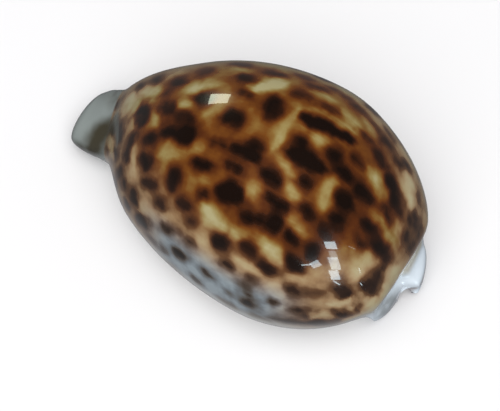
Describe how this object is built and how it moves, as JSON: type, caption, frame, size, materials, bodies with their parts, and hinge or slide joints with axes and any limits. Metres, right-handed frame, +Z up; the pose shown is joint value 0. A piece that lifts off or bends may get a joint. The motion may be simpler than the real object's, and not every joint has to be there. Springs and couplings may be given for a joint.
{
  "type": "cowrie shell",
  "caption": "Spotted, glossy egg-shaped cowrie shell with a narrow beak, a lobed broad end and a toothed slit along its flat base; hollow.",
  "frame": {"origin": "on the resting plane, under the middle of the shell's bounding box", "axes": "+X along the shell to its broad (posterior) end, +Y to the outer lip's side, +Z up to the crown of the back"},
  "size_m": [0.08, 0.0496, 0.0391],
  "materials": {
    "enamel": "high gloss natural enamel, brown spots on tan and cream"
  },
  "bodies": {
    "root": {"cowrie_shell": "enamel"}
  },
  "joints": []
}
